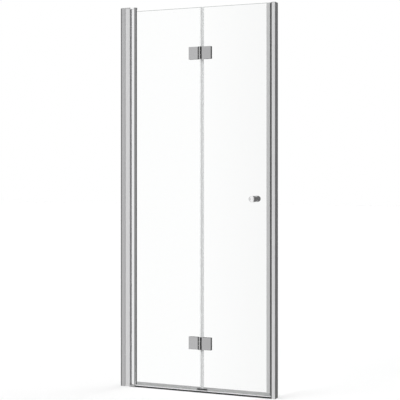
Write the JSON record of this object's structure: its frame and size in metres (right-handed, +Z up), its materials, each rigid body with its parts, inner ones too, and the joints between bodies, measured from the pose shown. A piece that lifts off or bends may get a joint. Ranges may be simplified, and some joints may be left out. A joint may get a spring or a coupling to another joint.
{
  "type": "bifold shower door",
  "caption": "Folding glass shower door for a recess: a pivoting leaf and a hinged leaf between wall profiles, with a magnet seal, a low threshold and a round knob.",
  "frame": {"origin": "middle of the doorway at tray level, in the middle plane of the closed glass", "axes": "+X along the doorway from the pivot side to the strike side, +Y into the shower, +Z up"},
  "size_m": [0.8, 0.092, 1.85],
  "materials": {
    "bright_aluminium": "bright polished and anodised",
    "chrome": "polished chrome plating",
    "stainless_steel": "machined",
    "clear_glass": "clear toughened, polished edges",
    "clear_vinyl": "translucent soft extrusion",
    "black_rubber": "matt",
    "white_nylon": "smooth moulded",
    "grey_plastic": "fine moulded grain",
    "magnet_strip": "matt bonded magnet"
  },
  "bodies": {
    "frame": {"wall_channel_left": "bright_aluminium", "frame_profile_left": "bright_aluminium", "top_cap_left": "grey_plastic", "adjusting_screws_left": "stainless_steel", "screw_covers_left": "chrome", "wall_channel_right": "bright_aluminium", "strike_profile": "bright_aluminium", "strike_seal": "clear_vinyl", "strike_magnet": "magnet_strip", "top_cap_right": "grey_plastic", "adjusting_screws_right": "stainless_steel", "screw_covers_right": "chrome", "threshold_rail": "bright_aluminium", "bottom_pivot_foot": "grey_plastic", "top_pivot_bracket": "bright_aluminium", "bottom_pivot_bush": "white_nylon", "top_pivot_bush": "white_nylon", "bracket_screws": "stainless_steel"},
    "panel_a": {"pivot_post": "bright_aluminium", "bottom_post_cap": "chrome", "top_post_cap": "chrome", "bottom_pivot_pin": "stainless_steel", "top_pivot_pin": "stainless_steel", "glazing_gasket": "black_rubber", "glass_pane_a": "clear_glass", "bottom_seal_a": "clear_vinyl", "drip_stop_a": "black_rubber", "upper_hinge_plate_a": "chrome", "upper_hinge_clamp_a": "chrome", "upper_hinge_pads_a": "black_rubber", "upper_hinge_screws_a": "stainless_steel", "lower_hinge_plate_a": "chrome", "lower_hinge_clamp_a": "chrome", "lower_hinge_pads_a": "black_rubber", "lower_hinge_screws_a": "stainless_steel"},
    "panel_b": {"upper_hinge_plate_b": "chrome", "upper_hinge_clamp_b": "chrome", "upper_hinge_pads_b": "black_rubber", "upper_hinge_screws_b": "stainless_steel", "lower_hinge_plate_b": "chrome", "lower_hinge_clamp_b": "chrome", "lower_hinge_pads_b": "black_rubber", "lower_hinge_screws_b": "stainless_steel", "upper_hinge_pin": "stainless_steel", "lower_hinge_pin": "stainless_steel", "upper_hinge_washers": "white_nylon", "lower_hinge_washers": "white_nylon", "glass_pane_b": "clear_glass", "fold_seal_upper": "clear_vinyl", "fold_seal_middle": "clear_vinyl", "fold_seal_lower": "clear_vinyl", "bottom_seal_b": "clear_vinyl", "drip_stop_b": "black_rubber", "door_magnet_seal": "clear_vinyl", "door_magnet": "magnet_strip", "knob_outer": "chrome", "knob_inner": "chrome", "knob_stud": "stainless_steel", "knob_washers": "black_rubber"}
  },
  "joints": [
    {"name": "wall_pivot", "type": "hinge", "parent": "frame", "child": "panel_a", "pos_m": [-0.3365, 0, 0.9], "axis": [0, 0, 1], "range_deg": [0, 90]},
    {"name": "fold_hinge", "type": "hinge", "parent": "panel_a", "child": "panel_b", "pos_m": [0.017, -0.012, 0.9], "axis": [0, 0, -1], "range_deg": [0, 170]}
  ]
}
